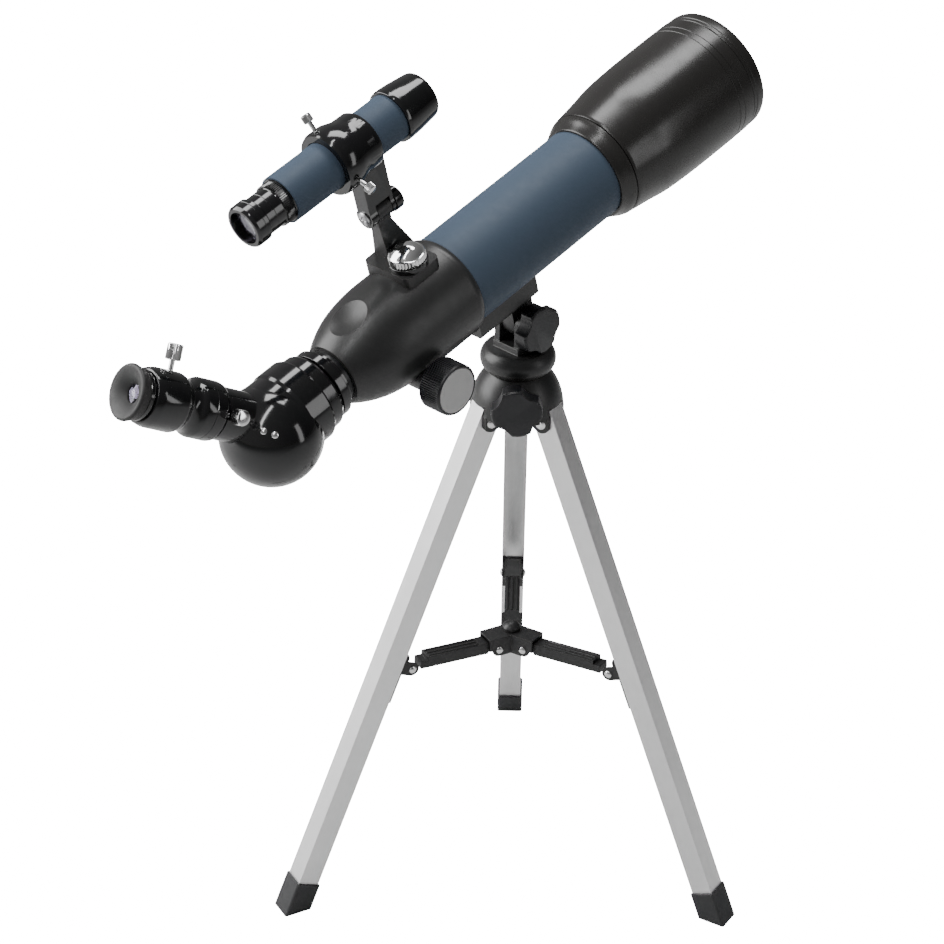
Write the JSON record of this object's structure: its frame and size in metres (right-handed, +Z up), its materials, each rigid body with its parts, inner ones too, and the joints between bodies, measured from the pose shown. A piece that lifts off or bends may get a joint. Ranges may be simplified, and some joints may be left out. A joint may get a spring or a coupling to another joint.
{
  "type": "telescope on tripod",
  "caption": "Small refracting telescope with a finder and angled eyepiece on a folding aluminium table tripod with a pan and tilt head.",
  "frame": {"origin": "floor level, under the middle of the object's box", "axes": "+Z up, +Y the way the tube points in plan, +X to its right seen from behind"},
  "size_m": [0.2722, 0.463, 0.5451],
  "materials": {
    "black_metal": "black anodised",
    "black_plastic": "moulded black plastic, soft gloss",
    "blue_paint": "blue-grey enamel on an aluminium tube",
    "bright_metal": "polished chrome plate",
    "disc_grey": "mid grey inlay",
    "foot_rubber": "matt dark grey rubber",
    "leg_metal": "satin anodised extrusion",
    "lens_glass": "coated glass",
    "mirror": "first-surface mirror",
    "soft_rubber": "soft black rubber",
    "spreader_plastic": "matt dark grey moulding with bright rivets",
    "steel": "turned steel"
  },
  "bodies": {
    "tripod_head": {"tripod_hub": "black_plastic", "leg_pivot_screws": "bright_metal"},
    "spreader": {"spreader_hub": "spreader_plastic", "spreader_knob": "spreader_plastic"},
    "pan": {"pan_head": "black_plastic", "pan_axle": "steel", "tilt_bolt": "steel"},
    "pan_lock": {"pan_lock_knob": "black_plastic"},
    "tilt_lock": {"tilt_knob": "black_plastic"},
    "telescope": {"saddle": "black_plastic", "saddle_screws": "steel", "main_tube": "blue_paint", "rear_body": "black_plastic", "dew_ring": "black_plastic", "dew_shield": "black_plastic", "dew_front_ring": "black_plastic", "lens_cell": "black_metal", "retaining_ring": "black_metal", "objective_lenses": "lens_glass", "finder_post": "black_plastic", "finder_nut_collar": "black_plastic"},
    "finder_fixing": {"finder_nut": "bright_metal"},
    "focuser": {"drawtube": "black_metal", "drawtube_collar": "black_plastic", "rack": "steel"},
    "focus_shaft": {"pinion_shaft": "steel", "focus_knobs": "black_plastic", "knob_discs": "disc_grey"},
    "diagonal": {"diagonal_housing": "black_plastic", "diagonal_screws": "bright_metal", "diagonal_mirror": "mirror", "eyepiece_tube": "black_plastic"},
    "diagonal_lock": {"diagonal_lock_screw": "bright_metal"},
    "eyepiece_lock": {"eyepiece_lock_screw": "bright_metal"},
    "eyepiece": {"eyepiece_barrel": "bright_metal", "eyecup": "soft_rubber", "eyepiece_lenses": "lens_glass"},
    "finder": {"finder_bracket": "black_plastic", "hinge_bolt": "steel", "finder_tube": "blue_paint", "finder_objective_cell": "black_plastic", "finder_lenses": "lens_glass"},
    "finder_focus": {"finder_eyepiece": "black_plastic", "finder_eye_lens": "lens_glass"},
    "finder_hinge_lock": {"hinge_knob": "black_plastic"},
    "leg_rear": {"leg_rear": "leg_metal", "foot_rear": "foot_rubber", "leg_bracket_rear": "spreader_plastic"},
    "arm_rear": {"spreader_arm_rear": "spreader_plastic"},
    "leg_left": {"leg_left": "leg_metal", "foot_left": "foot_rubber", "leg_bracket_left": "spreader_plastic"},
    "arm_left": {"spreader_arm_left": "spreader_plastic"},
    "leg_right": {"leg_right": "leg_metal", "foot_right": "foot_rubber", "leg_bracket_right": "spreader_plastic"},
    "arm_right": {"spreader_arm_right": "spreader_plastic"},
    "finder_adjuster_1": {"finder_screw_1": "bright_metal"},
    "finder_adjuster_2": {"finder_screw_2": "bright_metal"},
    "finder_adjuster_3": {"finder_screw_3": "bright_metal"}
  },
  "joints": [
    {"name": "leg_rear_fold", "type": "hinge", "parent": "tripod_head", "child": "leg_rear", "pos_m": [-0.03704, 0.07081, 0.3146], "axis": [-0.7373, -0.6756, 0], "range_deg": [0, 15]},
    {"name": "leg_left_fold", "type": "hinge", "parent": "tripod_head", "child": "leg_left", "pos_m": [-0.0288, 0.03361, 0.3146], "axis": [0.9537, -0.3007, 0], "range_deg": [0, 15]},
    {"name": "leg_right_fold", "type": "hinge", "parent": "tripod_head", "child": "leg_right", "pos_m": [-0.0007, 0.05935, 0.3146], "axis": [-0.2164, 0.9763, 0], "range_deg": [0, 15]},
    {"name": "spreader_lift", "type": "slide", "parent": "tripod_head", "child": "spreader", "axis": [0, 0, 1], "range_m": [0, 0.05431]},
    {"name": "arm_rear_fold", "type": "hinge", "parent": "spreader", "child": "arm_rear", "pos_m": [-0.03015, 0.06329, 0.15123], "axis": [-0.7373, -0.6756, 0], "range_deg": [0, 77.19]},
    {"name": "arm_left_fold", "type": "hinge", "parent": "spreader", "child": "arm_left", "pos_m": [-0.02573, 0.04333, 0.15123], "axis": [0.9537, -0.3007, 0], "range_deg": [0, 77.19]},
    {"name": "arm_right_fold", "type": "hinge", "parent": "spreader", "child": "arm_right", "pos_m": [-0.01066, 0.05714, 0.15123], "axis": [-0.2164, 0.9763, 0], "range_deg": [0, 77.19]},
    {"name": "pan_turn", "type": "hinge", "parent": "tripod_head", "child": "pan", "pos_m": [-0.02218, 0.05459, 0.348], "axis": [0, 0, 1], "continuous": true},
    {"name": "pan_lock_turn", "type": "hinge", "parent": "tripod_head", "child": "pan_lock", "pos_m": [-0.00191, 0.03247, 0.33], "axis": [0.6756, -0.7373, 0], "range_deg": [0, 180]},
    {"name": "tilt", "type": "hinge", "parent": "pan", "child": "telescope", "pos_m": [-0.02218, 0.05459, 0.372], "axis": [1, 0, 0], "range_deg": [-20, 40]},
    {"name": "tilt_lock_turn", "type": "hinge", "parent": "pan", "child": "tilt_lock", "pos_m": [-0.00618, 0.05459, 0.372], "axis": [1, 0, 0], "range_deg": [0, 180]},
    {"name": "focus_travel", "type": "slide", "parent": "telescope", "child": "focuser", "axis": [0, -0.964, -0.2659], "range_m": [0, 0.032]},
    {"name": "focus_knob_turn", "type": "hinge", "parent": "telescope", "child": "focus_shaft", "pos_m": [-0.02218, -0.04472, 0.38143], "axis": [1, 0, 0], "range_deg": [0, 330]},
    {"name": "diagonal_roll", "type": "hinge", "parent": "focuser", "child": "diagonal", "pos_m": [-0.02218, -0.14091, 0.37928], "axis": [0, 0.964, 0.2659], "continuous": true},
    {"name": "diagonal_lock_turn", "type": "hinge", "parent": "diagonal", "child": "diagonal_lock", "pos_m": [-0.0121, -0.17372, 0.40115], "axis": [0.9603, -0.0742, 0.2689], "range_deg": [0, 360]},
    {"name": "eyepiece_lock_turn", "type": "hinge", "parent": "diagonal", "child": "eyepiece_lock", "pos_m": [-0.04112, -0.19096, 0.43309], "axis": [-0.1973, 0.5011, 0.8426], "range_deg": [0, 360]},
    {"name": "eyepiece_slide", "type": "slide", "parent": "diagonal", "child": "eyepiece", "axis": [-0.1973, -0.8622, 0.4666], "range_m": [0, 0.02]},
    {"name": "finder_swing", "type": "hinge", "parent": "telescope", "child": "finder", "pos_m": [-0.03018, -0.05038, 0.4753], "axis": [0, 0.964, 0.2659], "range_deg": [-20, 20]},
    {"name": "finder_hinge_lock_turn", "type": "hinge", "parent": "finder", "child": "finder_hinge_lock", "pos_m": [-0.03018, -0.04075, 0.47796], "axis": [0, 0.964, 0.2659], "range_deg": [0, 180]},
    {"name": "finder_nut_turn", "type": "hinge", "parent": "telescope", "child": "finder_fixing", "pos_m": [-0.01768, -0.04184, 0.4481], "axis": [0, -0.2659, 0.964], "range_deg": [0, 360]},
    {"name": "finder_focus_slide", "type": "slide", "parent": "finder", "child": "finder_focus", "axis": [0, -0.964, -0.2659], "range_m": [0, 0.006]},
    {"name": "finder_adjuster_1_turn", "type": "hinge", "parent": "finder", "child": "finder_adjuster_1", "pos_m": [-0.0436, -0.08925, 0.53346], "axis": [-0.5592, -0.2204, 0.7992], "range_deg": [0, 360]},
    {"name": "finder_adjuster_2_turn", "type": "hinge", "parent": "finder", "child": "finder_adjuster_2", "pos_m": [-0.00793, -0.08157, 0.50561], "axis": [0.9272, 0.0996, -0.3611], "range_deg": [0, 360]},
    {"name": "finder_adjuster_3_turn", "type": "hinge", "parent": "finder", "child": "finder_adjuster_3", "pos_m": [-0.04528, -0.079, 0.4963], "axis": [-0.6293, 0.2066, -0.7492], "range_deg": [0, 360]}
  ],
  "couplings": [
    {"joint": "leg_left_fold", "follows": "leg_rear_fold", "ratio": 1},
    {"joint": "leg_right_fold", "follows": "leg_rear_fold", "ratio": 1},
    {"joint": "spreader_lift", "follows": "leg_rear_fold", "m_per_rad": 0.20743},
    {"joint": "arm_rear_fold", "follows": "leg_rear_fold", "ratio": 5.1457},
    {"joint": "arm_left_fold", "follows": "leg_rear_fold", "ratio": 5.1457},
    {"joint": "arm_right_fold", "follows": "leg_rear_fold", "ratio": 5.1457},
    {"joint": "focus_knob_turn", "follows": "focus_travel", "rad_per_m": 178.57}
  ]
}
